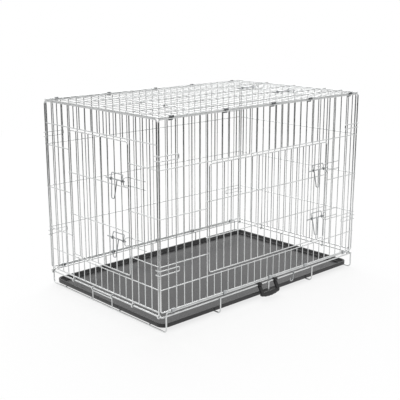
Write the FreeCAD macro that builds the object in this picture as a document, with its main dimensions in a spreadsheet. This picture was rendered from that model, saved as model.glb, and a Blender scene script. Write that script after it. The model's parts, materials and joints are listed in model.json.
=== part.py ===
import FreeCAD, Part
import Sketcher
import math
import os

from FreeCAD import Placement, Rotation, Vector

# Folding wire dog crate with a plastic tray: three doors, six slide bolts, a carry handle.
# Origin under the middle of the base, +X along the crate, -Y out of its front, +Z up, millimetres.

doc = FreeCAD.newDocument("DogTransportCrate")
sheet = doc.addObject("Spreadsheet::Sheet", "Sheet")

size_table = [
    ("crate_length", 910, "between the planes of the two end panels"),
    ("crate_width", 576, "between the planes of the front and back panels"),
    ("panel_height", 568, "bottom wire to top wire of a panel"),
    ("base_height", 64, "floor to the panels' bottom wires"),
    ("frame_wire", 4.4, "wire of the panels' frames"),
    ("door_wire", 3.4, "wire of the doors' frames and the uprights beside them"),
    ("grid_wire", 3, "wire of the bars"),
    ("base_wire", 4.8, "wire of the base"),
    ("floor_wire", 3.8, "long wires under the tray"),
    ("latch_wire", 3, "wire of brackets, keepers and hooks"),
    ("bolt_wire", 4, "rod of a slide bolt"),
    ("stop_wire", 3.6, "wire of the tray stops"),
    ("weld_bite", 0.5, "how far welded bars sink into each other"),
    ("weld_gap", 0.1, "between separate pieces welded at a point"),
    ("seat_gap", 0.3, "between pieces that rest on each other"),
    ("eye_clearance", 0.35, "round a wire that turns in an eye or clip"),
    ("end_setback", 9, "how far an end panel stops short of the front and the back"),
    ("frame_bend", 8, "corner radius of the frames"),
    ("long_door_from", 185.8, "left edge of a long panel to its door opening"),
    ("long_door_width", 568.1, "door opening of a long panel"),
    ("long_door_top", 426, "top of that opening"),
    ("end_door_from", 122.6, "edge of an end panel to its door opening"),
    ("end_door_width", 312.8, "door opening of an end panel"),
    ("end_door_top", 497, "top of that opening"),
    ("sill_height", 71, "bottom of every door opening"),
    ("door_setback", 9, "opening wire to door wire, centre to centre"),
    ("long_bolt_low", 161, "lower bolt of a long panel's door"),
    ("long_bolt_high", 329, "upper bolt of a long panel's door"),
    ("end_bolt_low", 186, "lower bolt of the end door"),
    ("end_bolt_high", 370, "upper bolt of the end door"),
    ("bolt_length", 90, "rod of a slide bolt"),
    ("bolt_tip_gap", 1.5, "drawn bolt's tip to its keeper"),
    ("bracket_place", 30, "opening upright to the bracket"),
    ("bracket_width", 54, "between a bracket's two eyes"),
    ("bracket_rise", 18, "bolt to the bracket's top bar"),
    ("paddle_width", 26, "bolt's hanging loop, at the rod"),
    ("paddle_tip_width", 14, "the same loop, at its lower end"),
    ("paddle_drop", 58, "rod to the end of the loop"),
    ("paddle_lean", 7, "how far the loop leans outwards"),
    ("paddle_gap", 0.8, "drawn bolt's loop to the bracket eye"),
    ("keeper_place", 16, "opening upright to the keeper's loop"),
    ("keeper_reach", 82, "length of a keeper's legs"),
    ("keeper_spread", 25, "between a keeper's legs"),
    ("keeper_slack", 2.5, "bolt to the keeper's closed end"),
    ("hook_low", 123, "lower corner hooks"),
    ("hook_high", 458, "upper corner hooks"),
    ("hook_spread", 14, "between a corner hook's legs"),
    ("hook_reach", 70, "panel's edge to a corner hook's closed end"),
    ("hook_lap", 4.6, "how far a hook's tip passes the upright"),
    ("cross_inset", 12, "end plane to the first cross wire"),
    ("leg_bend", 12, "bend of the cross wires"),
    ("floor_wire_spacing", 148, "between the long floor wires"),
    ("rim_drop", 13, "panels' bottom wires to the base rim"),
    ("rim_bend", 6, "corner radius of the base rim"),
    ("rail_gap", 0.4, "hinge rail to the panel wire above it"),
    ("rail_inset", 10, "outermost cross wire to the rail's turned-down end"),
    ("clip_width", 12, "hinge clips, along the wire"),
    ("clip_wall", 1.2, "sheet of the clips and edge hooks"),
    ("edge_hook_width", 16, "edge hooks, along the wire"),
    ("edge_hook_drop", 6, "front top wire to the edge hook's lip"),
    ("tray_end_room", 10, "end plane to the tray's lip"),
    ("tray_side_room", 2, "base leg to the tray's lip"),
    ("tray_depth", 14, "tray's height"),
    ("tray_wall", 2.4, "tray's sheet"),
    ("tray_corner", 26, "corner radius of the tray"),
    ("lip_width", 4, "tray's lip beyond its wall"),
    ("lip_height", 3, "tray's lip"),
    ("stop_spread", 102, "between the legs of a tray stop"),
    ("stop_drop", 43, "rim to the lower ends of the stops"),
    ("stop_bar_drop", 8.5, "rim to the hinged stop's cross bar"),
    ("handle_place", -1.5, "carry handle's middle, from the crate's"),
    ("handle_width", 88, "carry handle"),
    ("handle_drop", 32, "rim to the middle of its grip"),
    ("handle_bar", 10, "its bar"),
    ("handle_boss", 13, "its bosses round the rim"),
    ("handle_bow", 7, "how far its grip bows down"),
    ("closure_place", 128, "closure hook, from the crate's middle"),
    ("closure_drop", 26, "rim to the bottom of the closure hook"),
    ("closure_hook_width", 14, "across the closure hook's bend"),
]
for row, (alias, value, note) in enumerate(size_table, start=1):
    sheet.set(f"A{row}", note)
    sheet.set(f"B{row}", str(value))
    sheet.setAlias(f"B{row}", alias)
doc.recompute()

# Bars in the left part, the door part and the right part of a panel.
long_parts = (6, 19, 5)
end_parts = (4, 10, 4)
long_door_parts = 18
end_door_parts = 9
cross_wires = 5
floor_wires = 4
tiny = 1e-6
clip_gaps = ((0, 1.5), (1, 2.5), (1, 9.5), (1, 15.5), (2, 3.5))


class Size:
    """A length worked out from the sheet, as a number and as the expression that gives it."""

    def __init__(self, text, value):
        self.text = text
        self.value = value

    def __float__(self):
        return float(self.value)

    def joined(self, sign, other, value):
        return Size(f"({self.text} {sign} {text_of(other)})", value)

    def __add__(self, other):
        return self.joined("+", other, self.value + float(other))

    def __sub__(self, other):
        return self.joined("-", other, self.value - float(other))

    def __mul__(self, other):
        return self.joined("*", other, self.value * float(other))

    def __truediv__(self, other):
        return self.joined("/", other, self.value / float(other))

    def __neg__(self):
        return Size(f"(0 - {self.text})", -self.value)


def text_of(length):
    return length.text if isinstance(length, Size) else f"({length!r})"


def size(alias):
    return Size(f"Sheet.{alias}", float(sheet.get(alias)))


def bind(obj, name, length):
    obj.setExpression(name, text_of(length))


nothing = Size("0", 0.0)
length = size("crate_length")
width = size("crate_width")
height = size("panel_height")
base_level = size("base_height")
frame_wire = size("frame_wire")
door_wire = size("door_wire")
grid_wire = size("grid_wire")
base_wire = size("base_wire")
latch_wire = size("latch_wire")
bolt_wire = size("bolt_wire")
stop_wire = size("stop_wire")
weld_gap = size("weld_gap")
seat_gap = size("seat_gap")
clearance = size("eye_clearance")
sill = size("sill_height")
setback = size("door_setback")

long_half = length / 2
end_half = width / 2 - size("end_setback")
lid_level = base_level + height + frame_wire + seat_gap
rim_level = base_level - size("rim_drop")
rim_out = width / 2 + base_wire + weld_gap
leg_out = rim_out + base_wire + weld_gap
rail_level = base_level - frame_wire / 2 - base_wire / 2 - size("rail_gap")
bar_out = grid_wire - size("weld_bite")
weld_out = grid_wire / 2 + latch_wire / 2 + weld_gap
bolt_eye = bolt_wire / 2 + clearance + latch_wire / 2
bolt_out = weld_out + bolt_eye
door_eye = door_wire / 2 + clearance + grid_wire / 2
rim_eye = base_wire / 2 + clearance + frame_wire / 2
stop_eye = base_wire / 2 + clearance + stop_wire / 2
closure_eye = base_wire / 2 + clearance + latch_wire / 2

turns = {
    "x": Rotation(Vector(0, 1, 0), 90),
    "y": Rotation(Vector(1, 0, 0), -90),
    "z": Rotation(),
}


class Side:
    """One side of the crate: u runs along it, v up it and w out of it."""

    def __init__(self, u, v, w, out, origin):
        self.axes = {"u": u, "v": v, "w": w}
        self.out = out
        self.origin = dict(zip("xyz", origin))

    def place(self, u, v, w):
        found = dict(self.origin)
        found[self.axes["u"]] = found[self.axes["u"]] + u
        found[self.axes["v"]] = found[self.axes["v"]] + v
        found[self.axes["w"]] = found[self.axes["w"]] + w if self.out > 0 else found[self.axes["w"]] - w
        return [found[letter] for letter in "xyz"]


front = Side("x", "z", "y", -1, (nothing, -(width / 2), base_level))
back = Side("x", "z", "y", 1, (nothing, width / 2, base_level))
left = Side("y", "z", "x", -1, (-(length / 2), nothing, base_level))
right = Side("y", "z", "x", 1, (length / 2, nothing, base_level))
top = Side("x", "y", "z", 1, (nothing, -(width / 2), lid_level))

nodes = {}


def rod(start, axis, run, wire):
    bar = doc.addObject("Part::Cylinder", "Bar")
    bind(bar, "Radius", wire / 2)
    bind(bar, "Height", run)
    bar.Placement = Placement(Vector(), turns[axis])
    for letter, place in zip("xyz", start):
        bind(bar, f"Placement.Base.{letter}", place)
    return bar


def ring(centre, axis, ring_radius, wire):
    eye = doc.addObject("Part::Torus", "Eye")
    bind(eye, "Radius1", ring_radius)
    bind(eye, "Radius2", wire / 2)
    eye.Placement = Placement(Vector(), turns[axis])
    for letter, place in zip("xyz", centre):
        bind(eye, f"Placement.Base.{letter}", place)
    return eye


def weld(name, pieces):
    fused = doc.addObject("Part::MultiFuse", name)
    fused.Shapes = pieces
    return fused


def node(label, obj):
    obj.Label = label
    nodes[label] = obj


def welded(label, pieces):
    node(label, weld(label, pieces))


def group(label, pieces):
    """Pieces side by side, kept as one node."""
    gathered = doc.addObject("Part::Compound", label)
    gathered.Links = pieces
    node(label, gathered)


def vector(place):
    return Vector(*[float(part) for part in place])


def bent_shape(places, bend, wire, closed=False):
    """A round wire along straight runs that are joined by arcs of one bend radius."""
    points = [vector(place) for place in places]
    bend = float(bend)
    corners = {}
    for i in range(0 if closed else 1, len(points) if closed else len(points) - 1):
        before = (points[i - 1] - points[i]).normalize()
        after = (points[(i + 1) % len(points)] - points[i]).normalize()
        half = before.getAngle(after) / 2
        middle = (before + after).normalize()
        centre = points[i] + middle * (bend / math.sin(half))
        cut = bend / math.tan(half)
        corners[i] = (points[i] + before * cut, centre - middle * bend, points[i] + after * cut)
    order = list(range(len(points))) + ([0] if closed else [])
    edges = []
    for i, j in zip(order, order[1:]):
        begin = corners[i][2] if i in corners else points[i]
        end = corners[j][0] if j in corners else points[j]
        edges.append(Part.LineSegment(begin, end).toShape())
        if j in corners:
            edges.append(Part.Arc(*corners[j]).toShape())
    path = Part.Wire(edges)
    first = path.Edges[0]
    start = first.valueAt(first.FirstParameter)
    section = Part.makeCircle(float(wire) / 2, start, first.tangentAt(first.FirstParameter))
    return path.makePipe(Part.Face(Part.Wire(section)))


def ring_shape(centre, axis, ring_radius, wire):
    direction = turns[axis].multVec(Vector(0, 0, 1))
    return Part.makeTorus(float(ring_radius), float(wire) / 2, vector(centre), direction)


def shaped(label, shapes):
    """A node of one solid, or of several like solids that lie apart."""
    feature = doc.addObject("Part::Feature", label)
    feature.Shape = shapes[0] if len(shapes) == 1 else Part.makeCompound(shapes)
    feature.Placement = Placement()
    node(label, feature)


def bent_frame(side, corners, wire, closed):
    """A frame's wire through points of a side, with rounded corners."""
    frame = doc.addObject("Part::Feature", "Frame")
    places = [side.place(u, v, nothing) for u, v in corners]
    frame.Shape = bent_shape(places, size("frame_bend"), wire, closed)
    frame.Placement = Placement()
    return frame


def frame_loop(side, low_u, high_u, low_v, high_v, wire):
    corners = [(low_u, low_v), (high_u, low_v), (high_u, high_v), (low_u, high_v)]
    return bent_frame(side, corners, wire, True)


def upright(side, u, low, high, wire):
    return rod(side.place(u, low, nothing), side.axes["v"], high - low, wire)


def crossbar(side, one_end, other_end, v):
    low, high = sorted((one_end, other_end), key=float)
    return rod(side.place(low, v, bar_out), side.axes["u"], high - low, grid_wire)


def stations(half, opening_from, opening_width, parts):
    """Where a panel's bars stand: its left part, its door part and its right part."""
    edges = (-half, opening_from - half, opening_from - half + opening_width, half)
    found = []
    for low, high, count in zip(edges, edges[1:], parts):
        found.append([low + (high - low) * step / count for step in range(count + 1)])
    return found


def plain_panel(side, half, reach, parts, rows):
    """A frame with bars across it, two of them stout like the uprights beside a door."""
    jambs = (parts[1][0], parts[1][-1])
    end = grid_wire / 2
    pieces = [frame_loop(side, -half, half, nothing, reach, frame_wire)]
    pieces += [upright(side, u, nothing, reach, door_wire) for u in jambs]
    pieces += [upright(side, u, nothing, reach, grid_wire) for part in parts for u in part[1:-1]]
    pieces += [crossbar(side, -half - end, half + end, v) for v in rows]
    return pieces


def side_mat(side, edge, jamb, bars, reach, passing, ending=()):
    """The part of a panel between its edge and a jamb; some crossbars run on past the jamb."""
    sign = 1 if float(edge) > 0 else -1
    seam = jamb - frame_wire * sign
    end = edge + grid_wire / 2 * sign
    corners = [(seam, nothing), (edge, nothing), (edge, reach), (seam, reach)]
    pieces = [bent_frame(side, corners, frame_wire, False)]
    pieces.append(upright(side, jamb, nothing, reach, door_wire))
    pieces += [upright(side, u, nothing, reach, grid_wire) for u in bars]
    pieces += [crossbar(side, end, seam, v) for v in passing]
    pieces += [crossbar(side, end, jamb - grid_wire / 2 * sign, v) for v in ending]
    return pieces


def middle_mat(side, part, low, high, frame_levels, bar_levels):
    """The part of a panel between its jambs, or as much of it as a door opening leaves."""
    seam = frame_wire + weld_gap
    seams = (part[0] + seam, part[-1] - seam)
    run = seams[1] - seams[0]
    pieces = [rod(side.place(seams[0], v, nothing), side.axes["u"], run, frame_wire) for v in frame_levels]
    pieces += [crossbar(side, *seams, v) for v in bar_levels]
    pieces += [upright(side, u, low, high, grid_wire) for u in part[1:-1]]
    return pieces


def rim_eyes(side, edge, jamb):
    """Eyes under a panel's edge and under its jamb, which turn on the base rim."""
    drop = size("rim_drop")
    pieces = []
    for u, leg_top in ((edge, size("frame_bend") / 2), (jamb, nothing)):
        pieces.append(upright(side, u, rim_eye - drop, leg_top, frame_wire))
        pieces.append(ring(side.place(u, -drop, nothing), "y", rim_eye, frame_wire))
    return pieces


def door_panel(label, side, edge, reach, parts, opening_top, rows, eyes=False):
    """Four mats round a door opening: one below it, one above it and one on each side."""
    end = grid_wire / 2
    mats = [
        middle_mat(side, parts[1], nothing, sill + end, [nothing], [sill]),
        middle_mat(side, parts[1], opening_top - end, reach, [reach], [opening_top]),
    ]
    for rim, jamb, part in ((-edge, parts[1][0], parts[0]), (edge, parts[1][-1], parts[2])):
        pieces = side_mat(side, rim, jamb, part[1:-1], reach, (sill, opening_top), rows)
        if eyes:
            pieces += rim_eyes(side, rim, jamb)
        mats.append(pieces)
    group(label, [weld("Mat", pieces) for pieces in mats])


def plain_end_panel(label, side, edge, reach, parts, rows):
    """Three mats side by side, the outer two with the eyes that turn on the base rim."""
    mats = [middle_mat(side, parts[1], nothing, reach, [nothing, reach], rows)]
    for rim, jamb, part in ((-edge, parts[1][0], parts[0]), (edge, parts[1][-1], parts[2])):
        pieces = side_mat(side, rim, jamb, part[1:-1], reach, rows)
        mats.append(pieces + rim_eyes(side, rim, jamb))
    group(label, [weld("Mat", pieces) for pieces in mats])


def make_door(label, side, opening, opening_top, bars, hinge):
    """A door inside its opening, with two eyes that turn on the opening's upright."""
    low_u, high_u = opening[0] + setback, opening[1] - setback
    low_v, high_v = sill + setback, opening_top - setback
    pitch = (high_u - low_u) / bars
    end = grid_wire / 2
    pin = opening[0] if hinge < 0 else opening[1]
    stem = setback - door_eye - door_wire / 2 - weld_gap
    stem_from = pin + door_eye if hinge < 0 else pin - door_eye - stem
    pieces = [frame_loop(side, low_u, high_u, low_v, high_v, door_wire)]
    pieces += [upright(side, low_u + pitch * step, low_v, high_v, grid_wire) for step in range(1, bars)]
    eyes = []
    for third in (1, 2):
        v = low_v + (high_v - low_v) * third / 3
        pieces.append(crossbar(side, low_u - end, high_u + end, v))
        eye = ring(side.place(pin, v, nothing), side.axes["v"], door_eye, grid_wire)
        eyes.append([eye, rod(side.place(stem_from, v, nothing), side.axes["u"], stem, grid_wire)])
    group(label, [weld("Grid", pieces)] + [weld("Eye", eye) for eye in eyes])


class Latch:
    """A bolt's place on a door: s runs from the opening's upright over the door."""

    def __init__(self, side, edge, inwards, level):
        self.side = side
        self.edge = edge
        self.inwards = inwards
        self.level = level

    def place(self, s, v, w):
        u = self.edge + s if self.inwards > 0 else self.edge - s
        return self.side.place(u, self.level + v, w)

    def axis(self):
        return self.side.axes["u"]


def bracket_shape(latch):
    near = size("bracket_place")
    far = near + size("bracket_width")
    rise = size("bracket_rise")
    staple = [
        latch.place(near, bolt_eye, bolt_out),
        latch.place(near, rise, weld_out),
        latch.place(far, rise, weld_out),
        latch.place(far, bolt_eye, bolt_out),
    ]
    body = bent_shape(staple, latch_wire, latch_wire)
    eyes = [ring_shape(latch.place(s, nothing, bolt_out), latch.axis(), bolt_eye, latch_wire)
            for s in (near, far)]
    return body.multiFuse(eyes)


def keeper_shape(latch):
    """Two legs behind the door's edge, with their closed end standing out through the door."""
    behind = -(door_wire / 2 + seat_gap + latch_wire / 2)
    outer = bolt_out + bolt_wire / 2 + size("keeper_slack") + latch_wire / 2
    spread = size("keeper_spread") / 2
    loop = size("keeper_place")
    tail = loop - size("keeper_reach")
    hairpin = [
        latch.place(tail, -spread, behind),
        latch.place(loop, -spread, behind),
        latch.place(loop, -spread, outer),
        latch.place(loop, spread, outer),
        latch.place(loop, spread, behind),
        latch.place(tail, spread, behind),
    ]
    return bent_shape(hairpin, latch_wire * 2, latch_wire)


def bolt_shape(latch):
    """A drawn slide bolt: its rod and the loop that hangs from it."""
    tip = size("keeper_place") + latch_wire / 2 + size("bolt_tip_gap")
    middle = (size("bracket_place") + size("bracket_width") - latch_wire - size("paddle_gap")
              - size("paddle_width") / 2)
    root, end = size("paddle_width") / 2, size("paddle_tip_width") / 2
    drop, lean = -size("paddle_drop"), bolt_out + size("paddle_lean")
    start = vector(latch.place(tip, nothing, bolt_out))
    finish = vector(latch.place(tip + size("bolt_length"), nothing, bolt_out))
    shaft = Part.makeCylinder(float(bolt_wire) / 2, start.distanceToPoint(finish), start, finish - start)
    loop = [
        latch.place(middle - root, nothing, bolt_out),
        latch.place(middle - end, drop, lean),
        latch.place(middle + end, drop, lean),
        latch.place(middle + root, nothing, bolt_out),
    ]
    return shaft.fuse(bent_shape(loop, latch_wire * 2, latch_wire))


def corner_hook_shape(side, edge, corner, level):
    """A hairpin across a panel's corner, with its tips turned in past the end panel's upright."""
    spread = size("hook_spread") / 2
    over = frame_wire / 2 + latch_wire / 2 + weld_gap
    reach = grid_wire / 2 + bar_out + seat_gap + latch_wire / 2
    inside = -(size("end_setback") + size("hook_lap"))
    sign = 1 if corner > 0 else -1
    closed = (edge - size("hook_reach")) * sign
    turn = (length / 2 + reach) * sign
    hairpin = [
        side.place(turn, level - spread, inside),
        side.place(turn, level - spread, over),
        side.place(closed, level - spread, over),
        side.place(closed, level + spread, over),
        side.place(turn, level + spread, over),
        side.place(turn, level + spread, inside),
    ]
    return bent_shape(hairpin, latch_wire, latch_wire)


def corner_hooks(side):
    levels = (size("hook_low"), size("hook_high"))
    return [corner_hook_shape(side, long_half, corner, level) for corner in (-1, 1) for level in levels]


def band_solid(lower, rise, around, run):
    """A block round two wires, one above the other, at an even distance from both."""
    upper = lower + Vector(0, 0, rise)
    across = Vector(0, around, 0)
    up = Vector(0, 0, around)
    outline = Part.Wire([
        Part.LineSegment(lower + across, upper + across).toShape(),
        Part.Arc(upper + across, upper + up, upper - across).toShape(),
        Part.LineSegment(upper - across, lower - across).toShape(),
        Part.Arc(lower - across, lower - up, lower + across).toShape(),
    ])
    return Part.Face(outline).extrude(run)


def clip_shape(x, y, low_level, rise, wire):
    """A sheet band round two wires that lie one above the other."""
    inner = float(wire / 2 + clearance)
    outer = inner + float(size("clip_wall"))
    wide = float(size("clip_width"))
    centre = Vector(float(x) - wide / 2, float(y), float(low_level))
    run = Vector(wide, 0, 0)
    return band_solid(centre, float(rise), outer, run).cut(band_solid(centre, float(rise), inner, run))


def edge_hook_shape(x):
    """A sheet hook over the lid's front wire, with a lip inside the front panel's top wire."""
    inner = float(frame_wire / 2 + clearance)
    outer = inner + float(size("clip_wall"))
    wide = float(size("edge_hook_width"))
    centre = Vector(float(x) - wide / 2, -float(width) / 2, float(lid_level))
    lip = float(lid_level - base_level - height + size("edge_hook_drop"))
    short = float(frame_wire) / 2 - float(seat_gap)
    to_outer, to_inner = Vector(0, outer, 0), Vector(0, inner, 0)
    down_lip, down_short = Vector(0, 0, -lip), Vector(0, 0, -short)
    points = [
        centre + to_outer + down_lip,
        centre + to_outer,
        centre - to_outer,
        centre - to_outer + down_short,
        centre - to_inner + down_short,
        centre - to_inner,
        centre + to_inner,
        centre + to_inner + down_lip,
    ]
    outline = Part.Wire([
        Part.LineSegment(points[0], points[1]).toShape(),
        Part.Arc(points[1], centre + Vector(0, 0, outer), points[2]).toShape(),
        Part.LineSegment(points[2], points[3]).toShape(),
        Part.LineSegment(points[3], points[4]).toShape(),
        Part.LineSegment(points[4], points[5]).toShape(),
        Part.Arc(points[5], centre + Vector(0, 0, inner), points[6]).toShape(),
        Part.LineSegment(points[6], points[7]).toShape(),
        Part.LineSegment(points[7], points[0]).toShape(),
    ])
    return Part.Face(outline).extrude(Vector(wide, 0, 0))


def make_base():
    cross_half = length / 2 - size("cross_inset")
    low = base_wire / 2
    leg_top = rim_level + base_wire
    cross = []
    for step in range(cross_wires):
        x = -cross_half + cross_half * 2 * step / (cross_wires - 1)
        path = [(x, -leg_out, leg_top), (x, -leg_out, low), (x, leg_out, low), (x, leg_out, leg_top)]
        cross.append(bent_shape(path, size("leg_bend"), base_wire))
    shaped("base_cross_wires", cross)

    floor_level = base_wire + weld_gap + size("floor_wire") / 2
    floor_end = cross_half + base_wire
    floor = []
    for step in range(floor_wires):
        y = size("floor_wire_spacing") * (step - (floor_wires - 1) / 2)
        floor.append(rod((-floor_end, y, floor_level), "x", floor_end * 2, size("floor_wire")))
    group("base_floor_wires", floor)

    rim_corners = [(-1, -1), (1, -1), (1, 1), (-1, 1)]
    rim = [(length / 2 * x, rim_out * y, rim_level) for x, y in rim_corners]
    shaped("base_rim", [bent_shape(rim, size("rim_bend"), base_wire, closed=True)])

    rail_end = cross_half - size("rail_inset")
    rail_low = rim_level - base_wire / 2
    rails = []
    for y in (-(width / 2), width / 2):
        path = [(-rail_end, y, rail_low), (-rail_end, y, rail_level),
                (rail_end, y, rail_level), (rail_end, y, rail_low)]
        rails.append(bent_shape(path, base_wire, base_wire))
    shaped("base_hinge_rails", rails)

    half = size("stop_spread") / 2
    stop_top = rim_level - base_wire / 2 - weld_gap
    stop_low = rim_level - size("stop_drop")
    path = [(length / 2, -half, stop_top), (length / 2, -half, stop_low),
            (length / 2, half, stop_low), (length / 2, half, stop_top)]
    shaped("tray_end_stop", [bent_shape(path, stop_wire * 2, stop_wire)])


def make_panels():
    rows = [height / 4, height / 2, height * 0.75]
    lid_rows = [width / 4, width / 2]
    long_top = size("long_door_top")
    welded("back_panel", plain_panel(back, long_half, height, long_stations, rows))
    door_panel("front_panel", front, long_half, height, long_stations, long_top, rows[:2])
    door_panel("top_panel", top, long_half, width, long_stations, long_top, lid_rows)
    door_panel("left_end_panel", left, end_half, height, end_stations, size("end_door_top"), rows, eyes=True)
    plain_end_panel("right_end_panel", right, end_half, height, end_stations, rows)


def make_doors():
    end_levels = {"high": size("end_bolt_high"), "low": size("end_bolt_low")}
    long_levels = {"high": size("long_bolt_high"), "low": size("long_bolt_low")}
    doors = {
        "left": (left, end_stations[1], size("end_door_top"), end_door_parts, 1, end_levels),
        "front": (front, long_stations[1], size("long_door_top"), long_door_parts, -1, long_levels),
        "top": (top, long_stations[1], size("long_door_top"), long_door_parts, -1, long_levels),
    }
    for name, (side, part, opening_top, bars, hinge, levels) in doors.items():
        opening = (part[0], part[-1])
        make_door(f"{name}_door", side, opening, opening_top, bars, hinge)
        edge = opening[0] if hinge > 0 else opening[1]
        latches = {key: Latch(side, edge, hinge, level) for key, level in levels.items()}
        shaped(f"{name}_brackets", [bracket_shape(latch) for latch in latches.values()])
        shaped(f"{name}_keepers", [keeper_shape(latch) for latch in latches.values()])
        for key, latch in latches.items():
            shaped(f"{name}_bolt_{key}", [bolt_shape(latch)])


def make_clips():
    shaped("front_corner_hooks", corner_hooks(front))
    shaped("back_corner_hooks", corner_hooks(back))
    places = []
    for part, gap in clip_gaps:
        step = long_stations[part][1] - long_stations[part][0]
        places.append(long_stations[part][0] + step * gap)
    rise = base_level - rail_level
    for label, y in (("front_hinge_clips", -(width / 2)), ("back_hinge_clips", width / 2)):
        shaped(label, [clip_shape(x, y, rail_level, rise, base_wire) for x in places])
    top_wire = base_level + height
    rise = lid_level - top_wire
    shaped("top_hinge_clips", [clip_shape(x, width / 2, top_wire, rise, frame_wire) for x in places])
    shaped("top_edge_hooks", [edge_hook_shape(x) for x in places])


def make_tray_stop():
    half = size("stop_spread") / 2
    low = rim_level - size("stop_drop")
    bar = rim_level - size("stop_bar_drop")
    pieces = []
    for y in (-half, half):
        pieces.append(ring((-(length / 2), y, rim_level), "y", stop_eye, stop_wire))
        pieces.append(rod((-(length / 2), y, low), "z", size("stop_drop") - stop_eye, stop_wire))
    pieces.append(rod((-(length / 2), -half, bar), "y", half * 2, stop_wire))
    welded("tray_stop", pieces)


def vertical_edges(feature, nearest, furthest):
    """The upright edges whose distance from the crate's middle, along it, is in a range."""
    found = []
    for number, edge in enumerate(feature.Shape.Edges, start=1):
        ends = [vertex.Point for vertex in edge.Vertexes]
        upright_edge = len(ends) == 2 and abs(ends[0].x - ends[1].x) + abs(ends[0].y - ends[1].y) < tiny
        if upright_edge and nearest - tiny < abs(ends[0].x) < furthest + tiny:
            found.append(f"Edge{number}")
    return found


def rectangle(body, name, wide, deep, level):
    """A sketch of a rectangle about the middle of the crate."""
    sketch = body.newObject("Sketcher::SketchObject", name)
    plane = [feature for feature in body.Origin.OriginFeatures if feature.Role == "XY_Plane"][0]
    sketch.AttachmentSupport = [(plane, "")]
    sketch.MapMode = "FlatFace"
    bind(sketch, "AttachmentOffset.Base.z", level)
    x, y = float(wide) / 2, float(deep) / 2
    corners = [Vector(-x, -y, 0), Vector(x, -y, 0), Vector(x, y, 0), Vector(-x, y, 0)]
    for i in range(4):
        sketch.addGeometry(Part.LineSegment(corners[i], corners[(i + 1) % 4]))
    for i in range(4):
        sketch.addConstraint(Sketcher.Constraint("Coincident", i, 2, (i + 1) % 4, 1))
        sketch.addConstraint(Sketcher.Constraint("Horizontal" if i % 2 == 0 else "Vertical", i))
    sketch.addConstraint(Sketcher.Constraint("Symmetric", 0, 1, 1, 2, -1, 1))
    across = sketch.addConstraint(Sketcher.Constraint("DistanceX", 0, 1, 0, 2, 2 * x))
    along = sketch.addConstraint(Sketcher.Constraint("DistanceY", 1, 1, 1, 2, 2 * y))
    bind(sketch, f"Constraints[{across}]", wide)
    bind(sketch, f"Constraints[{along}]", deep)
    return sketch


def make_tray():
    """A shallow pan with rounded corners and a lip, on the long floor wires."""
    level = base_wire + weld_gap + size("floor_wire") + weld_gap
    brim = level + size("tray_depth")
    lip_long = length - size("tray_end_room") * 2
    lip_deep = width - base_wire - size("tray_side_room") * 2
    lip = size("lip_width") * 2
    wall = size("tray_wall") * 2
    body = doc.addObject("PartDesign::Body", "tray")
    pan = body.newObject("PartDesign::Pad", "Pan")
    pan.Profile = rectangle(body, "PanOutline", lip_long - lip, lip_deep - lip, level)
    bind(pan, "Length", size("tray_depth"))
    edge = body.newObject("PartDesign::Pad", "Lip")
    edge.Profile = rectangle(body, "LipOutline", lip_long, lip_deep, brim - size("lip_height"))
    bind(edge, "Length", size("lip_height"))
    inner_long = lip_long - lip - wall
    inner_deep = lip_deep - lip - wall
    hollow = body.newObject("PartDesign::Pocket", "Hollow")
    hollow.Profile = rectangle(body, "HollowOutline", inner_long, inner_deep, brim)
    bind(hollow, "Length", size("tray_depth") - size("tray_wall"))
    doc.recompute()
    inside = body.newObject("PartDesign::Fillet", "HollowCorners")
    inside.Base = (hollow, vertical_edges(hollow, 0, float(inner_long) / 2))
    bind(inside, "Radius", size("tray_corner") - size("tray_wall"))
    doc.recompute()
    outside = body.newObject("PartDesign::Fillet", "Corners")
    outside.Base = (inside, vertical_edges(inside, float(inner_long + wall) / 2, float(lip_long) / 2))
    bind(outside, "Radius", size("tray_corner"))
    node("tray", body)


def make_carry_handle():
    """A moulded loop whose two bosses turn on the front of the base rim."""
    middle = size("handle_place")
    boss_run = size("handle_boss")
    arm = size("handle_width") / 2 - boss_run / 2
    out = -rim_out
    low = rim_level - size("handle_drop")
    bow = low - size("handle_bow")
    bar = size("handle_bar")
    grip_out = -(leg_out + base_wire / 2 + bar / 2 + seat_gap)
    path = [
        (middle - arm, out, rim_level),
        (middle - arm, grip_out, low),
        (middle - arm / 2, grip_out, bow),
        (middle + arm / 2, grip_out, bow),
        (middle + arm, grip_out, low),
        (middle + arm, out, rim_level),
    ]
    shapes = [bent_shape(path, bar, bar)]
    bores = []
    for side in (-1, 1):
        start = vector((middle + arm * side - boss_run / 2, out, rim_level))
        run = float(boss_run)
        shapes.append(Part.makeCylinder(run / 2, run, start, Vector(1, 0, 0)))
        bores.append(Part.makeCylinder(float(base_wire / 2 + clearance), run, start, Vector(1, 0, 0)))
    shaped("carry_handle", [shapes[0].multiFuse(shapes[1:]).cut(Part.makeCompound(bores))])


def make_closure_hook():
    """A small wire hook that hangs on the base rim and holds the folded crate shut."""
    x = size("closure_place")
    low = rim_level - size("closure_drop")
    across = size("closure_hook_width")
    path = [
        (x, -rim_out, rim_level - closure_eye),
        (x, -rim_out, low),
        (x - across, -rim_out, low),
        (x - across, -rim_out, low + across / 2 + latch_wire),
    ]
    eye = ring_shape((x, -rim_out, rim_level), "x", closure_eye, latch_wire)
    shaped("closure_hook", [bent_shape(path, latch_wire * 1.5, latch_wire).fuse(eye)])


long_stations = stations(long_half, size("long_door_from"), size("long_door_width"), long_parts)
end_stations = stations(end_half, size("end_door_from"), size("end_door_width"), end_parts)

make_base()
make_panels()
make_doors()
make_clips()
make_tray_stop()
make_tray()
make_carry_handle()
make_closure_hook()
doc.recompute()

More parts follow.
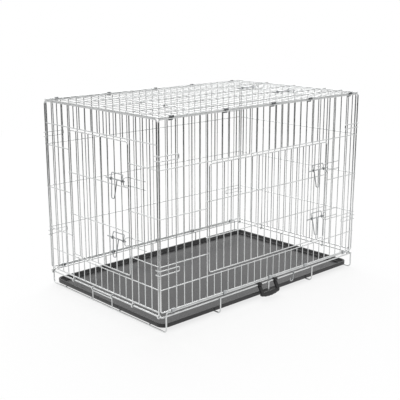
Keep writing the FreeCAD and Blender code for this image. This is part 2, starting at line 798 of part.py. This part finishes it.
for obj in doc.Objects:
    if "Invalid" in obj.State or "Error" in obj.State:
        raise RuntimeError(f"{obj.Label} failed: {obj.State}")
for label, obj in nodes.items():
    if obj.Shape.isNull() or not obj.Shape.isValid():
        raise RuntimeError(f"{label} has no valid shape")

os.makedirs("parts", exist_ok=True)
for label, obj in nodes.items():
    obj.Shape.exportStep(f"parts/{label}.step")
    print(label, len(obj.Shape.Solids), "solids", round(obj.Shape.Volume), "mm3")
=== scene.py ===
import bpy
import bmesh
import json
import math
from mathutils import Matrix, Vector


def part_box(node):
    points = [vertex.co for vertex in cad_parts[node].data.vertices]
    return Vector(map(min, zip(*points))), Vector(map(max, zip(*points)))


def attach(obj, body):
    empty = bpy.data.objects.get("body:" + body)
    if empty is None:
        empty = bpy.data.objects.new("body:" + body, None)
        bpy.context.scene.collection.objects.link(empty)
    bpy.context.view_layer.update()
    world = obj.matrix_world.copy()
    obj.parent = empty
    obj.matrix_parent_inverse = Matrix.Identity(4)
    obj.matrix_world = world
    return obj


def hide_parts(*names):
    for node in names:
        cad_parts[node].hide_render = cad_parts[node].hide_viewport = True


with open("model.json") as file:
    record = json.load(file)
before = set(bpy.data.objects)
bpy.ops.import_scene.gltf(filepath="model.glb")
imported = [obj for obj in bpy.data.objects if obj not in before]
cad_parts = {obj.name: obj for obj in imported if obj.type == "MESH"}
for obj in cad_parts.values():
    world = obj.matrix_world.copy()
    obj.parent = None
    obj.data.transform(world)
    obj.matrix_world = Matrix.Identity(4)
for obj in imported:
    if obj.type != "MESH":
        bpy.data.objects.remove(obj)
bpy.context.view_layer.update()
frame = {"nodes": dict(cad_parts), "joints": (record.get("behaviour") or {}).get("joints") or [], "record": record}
nodes = frame["nodes"]
print("crate loaded:", len(nodes), "nodes")


def linear(hexColour):
    parts = [int(hexColour[i:i + 2], 16) / 255 for i in (1, 3, 5)]
    return [c / 12.92 if c <= 0.04045 else ((c + 0.055) / 1.055) ** 2.4 for c in parts] + [1.0]


def addNode(tree, kind, settings=None, links=None):
    node = tree.nodes.new(kind)
    for name, value in (settings or {}).items():
        if hasattr(node, name):
            setattr(node, name, value)
        else:
            node.inputs[name].default_value = value
    for name, source in (links or {}).items():
        tree.links.new(source, node.inputs[name])
    return node


def newMaterial(name):
    material = bpy.data.materials.new(name)
    material.use_nodes = True
    tree = material.node_tree
    tree.nodes.clear()
    place = addNode(tree, "ShaderNodeTexCoord").outputs["Object"]
    shader = addNode(tree, "ShaderNodeBsdfPrincipled")
    addNode(tree, "ShaderNodeOutputMaterial", links={"Surface": shader.outputs["BSDF"]})
    return material, tree, place, shader


def perMetre(millimetres):
    return 1000 / millimetres  # a noise scale whose cells are about this wide


# zinc-plated drawn steel wire: a bright metal, cloudy where the plating dulled, satin from the drawing die,
# so each wire shows the white paper and the dull room as pale and dark streaks along it
wireFinish = {
    "bright": "#eceded", "cloudy": "#c6c8c8", "cloudMm": 38,
    "satin": (0.16, 0.3), "gritMm": 2.2,
    # real die lines are finer: drawn this coarse so that they show
    "dieMarkMm": 1.3, "dieMarkDepthMm": 0.05, "dieMarkShare": 0.25,
}


def zincPlate(name, finish):
    material, tree, place, shader = newMaterial(name)
    clouds = addNode(tree, "ShaderNodeTexNoise", {"Scale": perMetre(finish["cloudMm"]), "Detail": 3.0},
                     {"Vector": place})
    tint = addNode(tree, "ShaderNodeMix", {"data_type": "RGBA"}, {"Factor": clouds.outputs["Fac"]})
    tint.inputs["A"].default_value = linear(finish["bright"])
    tint.inputs["B"].default_value = linear(finish["cloudy"])
    grit = addNode(tree, "ShaderNodeTexNoise", {"Scale": perMetre(finish["gritMm"]), "Detail": 4.0},
                   {"Vector": place})
    low, high = finish["satin"]
    satin = addNode(tree, "ShaderNodeMapRange", {"To Min": low, "To Max": high}, {"Value": grit.outputs["Fac"]})
    marks = addNode(tree, "ShaderNodeTexNoise", {"Scale": perMetre(finish["dieMarkMm"]), "Detail": 2.0},
                    {"Vector": place})
    bump = addNode(tree, "ShaderNodeBump",
                   {"Strength": finish["dieMarkShare"], "Distance": finish["dieMarkDepthMm"] / 1000},
                   {"Height": marks.outputs["Fac"]})
    shader.inputs["Metallic"].default_value = 1.0
    tree.links.new(tint.outputs["Result"], shader.inputs["Base Color"])
    tree.links.new(satin.outputs["Result"], shader.inputs["Roughness"])
    tree.links.new(bump.outputs["Normal"], shader.inputs["Normal"])
    return material


# clip sheet: zinc-plated sheet painted a mid grey that is painted shade, lighter grey in random patches as the
# sheet's own tone, so the clips stand out on the wire
shadedClipFinish = {"paintedShade": "#6a6c6e", "rubbed": "#a3a5a7", "patchMm": 6, "patchEdge": (0.45, 0.8),
              "satin": (0.35, 0.55), "gritMm": 0.9}


def shadeDarkenedSheet(name, finish):
    material, tree, place, shader = newMaterial(name)
    patches = addNode(tree, "ShaderNodeTexNoise", {"Scale": perMetre(finish["patchMm"]), "Detail": 4.0},
                      {"Vector": place})
    ramp = addNode(tree, "ShaderNodeValToRGB", links={"Fac": patches.outputs["Fac"]})
    # the darker stop is painted shade on the zinc sheet; the lighter stop is the sheet's own grey in random patches
    for stop, at, colour in zip(ramp.color_ramp.elements, finish["patchEdge"], ("paintedShade", "rubbed")):
        stop.position = at
        stop.color = linear(finish[colour])
    grit = addNode(tree, "ShaderNodeTexNoise", {"Scale": perMetre(finish["gritMm"])}, {"Vector": place})
    low, high = finish["satin"]
    satin = addNode(tree, "ShaderNodeMapRange", {"To Min": low, "To Max": high}, {"Value": grit.outputs["Fac"]})
    shader.inputs["Metallic"].default_value = 1.0
    tree.links.new(ramp.outputs["Color"], shader.inputs["Base Color"])
    tree.links.new(satin.outputs["Result"], shader.inputs["Roughness"])
    return material


# moulded black plastic: pebbled grain from the tool and faint scuffs, so it is black face on and grey at a low
# angle; the real grain is finer and drawn this coarse so that it shows
trayFinish = {"black": "#101012", "scuff": "#1d1d1f", "scuffMm": 70, "grainMm": 2.4, "grainDepthMm": 0.2,
              "grainShare": 0.35, "satin": (0.18, 0.3), "ior": 1.49}
gripFinish = {"black": "#0d0d0f", "scuff": "#18181a", "scuffMm": 25, "grainMm": 1.1, "grainDepthMm": 0.12,
              "grainShare": 0.35, "satin": (0.36, 0.5), "ior": 1.49}


def mouldedPlastic(name, finish):
    material, tree, place, shader = newMaterial(name)
    scuffs = addNode(tree, "ShaderNodeTexNoise", {"Scale": perMetre(finish["scuffMm"]), "Detail": 5.0},
                     {"Vector": place})
    tint = addNode(tree, "ShaderNodeMix", {"data_type": "RGBA"}, {"Factor": scuffs.outputs["Fac"]})
    tint.inputs["A"].default_value = linear(finish["black"])
    tint.inputs["B"].default_value = linear(finish["scuff"])
    grain = addNode(tree, "ShaderNodeTexVoronoi", {"Scale": perMetre(finish["grainMm"]), "feature": "SMOOTH_F1"},
                    {"Vector": place})
    bump = addNode(tree, "ShaderNodeBump",
                   {"Strength": finish["grainShare"], "Distance": finish["grainDepthMm"] / 1000},
                   {"Height": grain.outputs["Distance"]})
    low, high = finish["satin"]
    satin = addNode(tree, "ShaderNodeMapRange", {"To Min": low, "To Max": high}, {"Value": scuffs.outputs["Fac"]})
    shader.inputs["IOR"].default_value = finish["ior"]
    tree.links.new(tint.outputs["Result"], shader.inputs["Base Color"])
    tree.links.new(satin.outputs["Result"], shader.inputs["Roughness"])
    tree.links.new(bump.outputs["Normal"], shader.inputs["Normal"])
    return material


# latches and the long sides' hinge clips: the same zinc plate, duller; welds: rougher, where zinc was squeezed out
latchFinish = dict(wireFinish, bright="#c6c8c9", cloudy="#9b9ea0", cloudMm=14)
weldFinish = dict(wireFinish, bright="#dcdede", cloudy="#aeb0b0", cloudMm=4, satin=(0.3, 0.5))
zincWire = zincPlate("zincPlatedWire", wireFinish)
zincLatch = zincPlate("zincPlatedLatchWire", latchFinish)
zincWeld = zincPlate("spotWeldedZinc", weldFinish)
# the clips' material: zinc sheet darkened with painted shade, with lighter random patches
shadedClip = shadeDarkenedSheet("zincClipPaintedShade", shadedClipFinish)
trayPlastic = mouldedPlastic("mouldedTrayPolystyrene", trayFinish)
gripPlastic = mouldedPlastic("mouldedHandlePolypropylene", gripFinish)
bySlot = {"zinc_wire": zincWire, "zinc_latch_wire": zincLatch, "dark_clip_steel": shadedClip,
          "tray_plastic": trayPlastic, "handle_plastic": gripPlastic}
for sub in frame["record"]["subparts"]:
    plain = sub["node"].endswith(("_keepers", "_corner_hooks"))  # plain bent wire, as bright as the panels
    for slot in nodes[sub["node"]].material_slots:
        slot.material = zincWire if plain else bySlot[sub["material_slot"]]
print("finishes set on", len(nodes), "nodes")

hair = 1e-5  # metres: ends or levels closer than this are the same


def newVerts(result):
    return [part for part in result["geom"] if isinstance(part, bmesh.types.BMVert)]


def roundEdges(bm, edges, radius, steps):
    bmesh.ops.bevel(bm, geom=edges, offset=radius, segments=steps, profile=0.5, affect="EDGES", material=-1)


def finishPiece(name, bm, material, body, node=None):
    mesh = bpy.data.meshes.new(name)
    for face in bm.faces:
        face.smooth = True
    bm.to_mesh(mesh)
    bm.free()
    piece = bpy.data.objects.new(name, mesh)
    bpy.context.scene.collection.objects.link(piece)
    mesh.materials.append(material)
    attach(piece, body)
    if node:
        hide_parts(node)
    print(name, "made:", len(mesh.polygons), "faces")
    return piece


# the tray's moulding: steep walls with a rounded foot to the floor and a turned-down lip, in metres
trayMoulding = {"cornerRadius": 0.026, "cornerSteps": 8, "lip": 0.0064, "sheet": 0.0024, "draft": 0.003,
                "floorRound": 0.005, "floorSteps": 5, "lipRound": 0.0012, "lipSteps": 3, "lipAngle": 0.5,
                "skirt": 0.0125}


def mouldTray(size):
    low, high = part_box("tray")
    bm = bmesh.new()
    bmesh.ops.create_grid(bm, x_segments=1, y_segments=1, size=1)
    bmesh.ops.scale(bm, vec=(high.x, high.y, 1), verts=bm.verts)
    bmesh.ops.translate(bm, vec=(0, 0, high.z), verts=bm.verts)
    bmesh.ops.bevel(bm, geom=bm.verts[:], offset=size["cornerRadius"], segments=size["cornerSteps"], profile=0.5,
                    affect="VERTICES", material=-1)
    floor = bm.faces[:][0]
    for inset in ("lip", "draft"):
        bmesh.ops.inset_region(bm, faces=[floor], thickness=size[inset], use_even_offset=True, use_boundary=True)
    bmesh.ops.translate(bm, vec=(0, 0, low.z + size["sheet"] - high.z), verts=floor.verts)
    foot = floor.edges[:]
    rim = [e for e in bm.edges if e.is_boundary]
    skirt = newVerts(bmesh.ops.extrude_edge_only(bm, edges=rim))
    bmesh.ops.translate(bm, vec=(0, 0, -size["skirt"]), verts=skirt)
    crest = [e for e in bm.edges if not e.is_boundary and all(abs(v.co.z - high.z) < hair for v in e.verts)
             and abs(e.calc_face_angle(0)) > size["lipAngle"]]
    roundEdges(bm, foot, size["floorRound"], size["floorSteps"])
    roundEdges(bm, [e for e in crest if e.is_valid], size["lipRound"], size["lipSteps"])
    bmesh.ops.recalc_face_normals(bm, faces=bm.faces)
    if max(bm.faces, key=lambda f: f.calc_area()).normal.z < 0:
        bmesh.ops.reverse_faces(bm, faces=bm.faces)
    piece = finishPiece("trayMoulding", bm, trayPlastic, "tray", "tray")
    wall = piece.modifiers.new("sheet", "SOLIDIFY")
    wall.thickness = size["sheet"]
    wall.offset = -1
    wall.use_even_offset = True
    piece.modifiers.new("evenShade", "WEIGHTED_NORMAL")


mouldTray(trayMoulding)

# the carry handle: a flat moulded bow with finger dips under its grip and a boss at the end of each arm
handleMoulding = {"armWidth": 0.013, "armTop": 0.0045, "thick": 0.0098, "gripDeep": 0.0175, "bow": 0.007,
                  "dips": 4, "dipSteps": 4, "dipDeep": 0.0011, "cornerRound": 0.005, "cornerSteps": 4,
                  "edgeRound": 0.003, "edgeSteps": 3, "edgeAngle": 0.6, "bossRadius": 0.0065,
                  "boreRadius": 0.00275, "bossRun": 0.013, "bossSteps": 28}


def mouldHandle(size):
    low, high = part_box("carry_handle")
    hinge = Vector(next(j["pos_m"] for j in frame["joints"] if j["name"] == "carry_handle_hinge"))
    half = (high.x - low.x) / 2
    drop = hinge.z - low.z
    out = hinge.y - low.y - size["thick"] / 2  # the grip hangs this far in front of its hinge
    inner = half - size["armWidth"]
    gripTop = -drop + size["gripDeep"]
    steps = size["dips"] * size["dipSteps"]
    last = steps + 2  # one more column at each side for the arms
    bm = bmesh.new()
    bmesh.ops.create_grid(bm, x_segments=last, y_segments=2, size=1)
    for v in bm.verts:
        step = round((v.co.x + 1) / 2 * last)
        if step in (0, last):
            x = half if step else -half
        else:
            x = -inner + 2 * inner * (step - 1) / steps
        level = round(v.co.y)  # 1 at the bosses, 0 at the grip's top, -1 at its foot
        z = {1: -size["armTop"], 0: gripTop, -1: -drop + size["bow"] * (x / half) ** 2}[level]
        if level == -1 and 0 < step < last:
            z += size["dipDeep"] * (1 + math.cos((step - 1) * 2 * math.pi / size["dipSteps"])) / 2
        v.co = (x, 0, z)
    middles = [(f, f.calc_center_median()) for f in bm.faces]
    gap = [f for f, middle in middles if abs(middle.x) < inner and middle.z > gripTop]
    bmesh.ops.delete(bm, geom=gap, context="FACES")
    back = newVerts(bmesh.ops.extrude_face_region(bm, geom=bm.faces[:]))
    bmesh.ops.translate(bm, vec=(0, -size["thick"], 0), verts=back)
    bmesh.ops.translate(bm, vec=(0, size["thick"] / 2, 0), verts=bm.verts)
    bmesh.ops.recalc_face_normals(bm, faces=bm.faces)
    corners = [e for e in bm.edges if abs(e.verts[0].co.y - e.verts[1].co.y) > hair
               and all(abs(v.co.x) > half - hair and v.co.z < gripTop - hair for v in e.verts)]
    roundEdges(bm, corners, size["cornerRound"], size["cornerSteps"])
    sharp = [e for e in bm.edges if len(e.link_faces) == 2 and e.calc_face_angle() > size["edgeAngle"]]
    roundEdges(bm, sharp, size["edgeRound"], size["edgeSteps"])
    for v in bm.verts:  # the arms slope out, the grip hangs upright
        v.co.y -= out * min(1, max(0, (-v.co.z - size["armTop"]) / (-gripTop - size["armTop"])))
    bmesh.ops.translate(bm, vec=hinge, verts=bm.verts)
    for side in (-1, 1):
        start = hinge.x + side * (half - size["bossRun"] / 2) - size["bossRun"] / 2
        turn = Matrix.Translation((start, hinge.y, hinge.z)) @ Matrix.Rotation(math.pi / 2, 4, "Y")
        rings = []
        for radius in (size["bossRadius"], size["boreRadius"]):
            rings += bmesh.ops.create_circle(bm, segments=size["bossSteps"], radius=radius, matrix=turn)["verts"]
        loops = [e for e in bm.edges if e.verts[0] in rings and e.verts[1] in rings]
        cap = bmesh.ops.bridge_loops(bm, edges=loops)["faces"]
        run = newVerts(bmesh.ops.extrude_face_region(bm, geom=cap))
        bmesh.ops.translate(bm, vec=(size["bossRun"], 0, 0), verts=run)
    bmesh.ops.recalc_face_normals(bm, faces=bm.faces)
    piece = finishPiece("carryHandleMoulding", bm, gripPlastic, "carry_handle", "carry_handle")
    piece.modifiers.new("evenShade", "WEIGHTED_NORMAL")


mouldHandle(handleMoulding)

# spot welds: a flat bead where a bar crosses a wire, squeezed out as the two were pressed together
weldBead = {"across": 0.0052, "deep": 0.003, "lift": 0.00125, "segments": 8, "rings": 5}
# a panel's origin, and its directions along, up and out
panelPlace = {
    "front": ((0, -0.288, 0.064), (1, 0, 0), (0, 0, 1), (0, -1, 0)),
    "back": ((0, 0.288, 0.064), (1, 0, 0), (0, 0, 1), (0, 1, 0)),
    "left": ((-0.455, 0, 0.064), (0, 1, 0), (0, 0, 1), (-1, 0, 0)),
    "right": ((0.455, 0, 0.064), (0, 1, 0), (0, 0, 1), (1, 0, 0)),
    "top": ((0, -0.288, 0.6367), (1, 0, 0), (0, 1, 0), (0, 0, 1)),
}
# the edges of a panel's three parts with the bar spacings in each, the opening's sill and top, the crossbars
longGrid = {"edges": (-0.455, -0.2692, 0.2989, 0.455), "spaces": (6, 19, 5), "sill": 0.071, "top": 0.426,
            "rows": (0.142, 0.284), "doorSpaces": 18, "doorSetback": 0.009}
lidGrid = dict(longGrid, rows=(0.144, 0.288))
backGrid = dict(longGrid, rows=(0.142, 0.284, 0.426))
endGrid = {"edges": (-0.279, -0.1564, 0.1564, 0.279), "spaces": (4, 10, 4), "sill": 0.071, "top": 0.497,
           "rows": (0.142, 0.284, 0.426), "doorSpaces": 9, "doorSetback": 0.009}


def barParts(grid):
    return [[low + (high - low) * i / count for i in range(count + 1)]
            for low, high, count in zip(grid["edges"], grid["edges"][1:], grid["spaces"])]


def openPanelWelds(grid):
    left, middle, right = barParts(grid)
    levels = (grid["sill"], grid["top"])
    beside = [(u, v) for u in left + right for v in levels + grid["rows"]]
    return beside + [(u, v) for u in middle[1:-1] for v in levels]


def plainPanelWelds(grid):
    left, middle, right = barParts(grid)
    return [(u, v) for u in left + middle[1:-1] + right for v in grid["rows"]]


def doorWelds(grid):
    setback = grid["doorSetback"]
    low, high = grid["edges"][1] + setback, grid["edges"][2] - setback
    foot, head = grid["sill"] + setback, grid["top"] - setback
    return [(low + (high - low) * i / grid["doorSpaces"], foot + (head - foot) * third / 3)
            for i in range(grid["doorSpaces"] + 1) for third in (1, 2)]


def setWelds(name, side, body, places, bead):
    origin, along, up, out = [Vector(part) for part in panelPlace[side]]
    turn = out.to_track_quat("Z", "Y").to_matrix().to_4x4()
    shape = turn @ Matrix.Diagonal((bead["across"] / 2, bead["across"] / 2, bead["deep"] / 2, 1))
    bm = bmesh.new()
    for u, v in places:
        spot = Matrix.Translation(origin + along * u + up * v + out * bead["lift"])
        bmesh.ops.create_uvsphere(bm, u_segments=bead["segments"], v_segments=bead["rings"], radius=1,
                                  matrix=spot @ shape)
    finishPiece(name, bm, zincWeld, body)


setWelds("frontWelds", "front", "base", openPanelWelds(longGrid), weldBead)
setWelds("backWelds", "back", "base", plainPanelWelds(backGrid), weldBead)
setWelds("lidWelds", "top", "lid", openPanelWelds(lidGrid), weldBead)
setWelds("leftEndWelds", "left", "left_end", openPanelWelds(endGrid), weldBead)
setWelds("rightEndWelds", "right", "right_end", plainPanelWelds(endGrid), weldBead)
setWelds("leftDoorWelds", "left", "left_door", doorWelds(endGrid), weldBead)
setWelds("frontDoorWelds", "front", "front_door", doorWelds(longGrid), weldBead)
setWelds("topDoorWelds", "top", "top_door", doorWelds(lidGrid), weldBead)

# white paper that ends just in front of the picture, a soft sun from behind, and a white room that is dark below
# its horizon and greyer overhead, so that a wire mirrors the paper, the room's walls and both darker parts
studio = {"paper": "#f6f6f6", "paperRough": 0.9, "paperReach": 2.0, "paperFront": 0.95, "paperGlow": 0.78,
          "skyStrength": 0.62, "horizon": (-0.06, 0.0), "roomFloor": 0.03, "overhead": (0.3, 0.8),
          "roomCeiling": 0.7, "sunStrength": 1.75, "sunSpread": 50, "sunFrom": (0.55, 0.8, 1.5)}
white = (1, 1, 1, 1)


def layPaper(look, yaw):
    ahead = Vector((math.cos(math.radians(yaw)), math.sin(math.radians(yaw)), 0))
    bm = bmesh.new()
    bmesh.ops.create_grid(bm, x_segments=1, y_segments=1, size=look["paperReach"],
                          matrix=Matrix.Translation(ahead * (look["paperReach"] - look["paperFront"]))
                          @ Matrix.Rotation(math.radians(yaw), 4, "Z"))
    mesh = bpy.data.meshes.new("studioFloor")
    bm.to_mesh(mesh)
    bm.free()
    floor = bpy.data.objects.new("studioFloor", mesh)
    bpy.context.scene.collection.objects.link(floor)
    paper, tree, _, shader = newMaterial("whitePaperSweep")
    shader.inputs["Base Color"].default_value = linear(look["paper"])
    shader.inputs["Roughness"].default_value = look["paperRough"]
    # seen directly or mirrored, most of the paper's colour is plain white and the rest keeps the crate's shadow
    ray = addNode(tree, "ShaderNodeLightPath").outputs
    mirrored = addNode(tree, "ShaderNodeMath", {"operation": "MAXIMUM"},
                       {0: ray["Is Glossy Ray"], 1: ray["Is Transmission Ray"]})
    seen = addNode(tree, "ShaderNodeMath", {"operation": "MAXIMUM"},
                   {0: ray["Is Camera Ray"], 1: mirrored.outputs["Value"]})
    share = addNode(tree, "ShaderNodeMath", {"operation": "MULTIPLY"}, {0: seen.outputs["Value"]})
    share.inputs[1].default_value = look["paperGlow"]
    glow = addNode(tree, "ShaderNodeEmission", {"Color": white, "Strength": 1.0})
    mixed = addNode(tree, "ShaderNodeMixShader",
                    links={0: share.outputs["Value"], 1: shader.outputs["BSDF"], 2: glow.outputs["Emission"]})
    end = next(n for n in tree.nodes if n.type == "OUTPUT_MATERIAL")
    tree.links.new(mixed.outputs["Shader"], end.inputs["Surface"])
    mesh.materials.append(paper)


def lightRoom(look):
    world = bpy.data.worlds.new("softStudio")
    bpy.context.scene.world = world
    world.use_nodes = True
    tree = world.node_tree
    tree.nodes.clear()
    ray = addNode(tree, "ShaderNodeLightPath").outputs
    direction = addNode(tree, "ShaderNodeTexCoord").outputs["Generated"]
    height = addNode(tree, "ShaderNodeSeparateXYZ", links={"Vector": direction}).outputs["Z"]
    low, high = look["horizon"]
    room = addNode(tree, "ShaderNodeMapRange",
                   {"From Min": low, "From Max": high, "To Min": look["roomFloor"], "To Max": 1.0}, {"Value": height})
    low, high = look["overhead"]
    ceiling = addNode(tree, "ShaderNodeMapRange",
                      {"From Min": low, "From Max": high, "To Min": 1.0, "To Max": look["roomCeiling"]},
                      {"Value": height})
    around = addNode(tree, "ShaderNodeMath", {"operation": "MULTIPLY"},
                     {0: room.outputs["Result"], 1: ceiling.outputs["Result"]})
    mirrored = addNode(tree, "ShaderNodeMath", {"operation": "MAXIMUM"},
                       {0: ray["Is Glossy Ray"], 1: ray["Is Transmission Ray"]})
    indirect = addNode(tree, "ShaderNodeMix", {"data_type": "FLOAT"},
                       {"Factor": mirrored.outputs["Value"], "B": around.outputs["Value"]})
    indirect.inputs["A"].default_value = look["skyStrength"]
    strength = addNode(tree, "ShaderNodeMix", {"data_type": "FLOAT"},
                       {"Factor": ray["Is Camera Ray"], "A": indirect.outputs["Result"]})
    strength.inputs["B"].default_value = 1.0
    sky = addNode(tree, "ShaderNodeBackground", {"Color": white}, {"Strength": strength.outputs["Result"]})
    addNode(tree, "ShaderNodeOutputWorld", links={"Surface": sky.outputs["Background"]})

    sun = bpy.data.lights.new("softSun", "SUN")
    sun.energy = look["sunStrength"]
    sun.angle = math.radians(look["sunSpread"])
    lamp = bpy.data.objects.new("softSun", sun)
    lamp.rotation_euler = Vector(look["sunFrom"]).to_track_quat("Z", "Y").to_euler()
    bpy.context.scene.collection.objects.link(lamp)


# the photograph's view: low over the front left corner
view = {"place": (-1.857, -1.962, 0.955), "yaw": 47.06, "pitch": -14.15, "lens": 72.01, "sensor": 36, "reach": 100}


def setCamera(look):
    camera = bpy.data.cameras.new("photoCamera")
    camera.lens = look["lens"]
    camera.sensor_width = look["sensor"]
    camera.clip_end = look["reach"]
    stand = bpy.data.objects.new("photoCamera", camera)
    stand.location = look["place"]
    stand.rotation_euler = (math.radians(90 + look["pitch"]), 0, math.radians(look["yaw"] - 90))
    bpy.context.scene.collection.objects.link(stand)
    bpy.context.scene.camera = stand


setCamera(view)
layPaper(studio, view["yaw"])
lightRoom(studio)
bpy.context.scene.view_settings.view_transform = "Standard"
print("studio and camera ready")
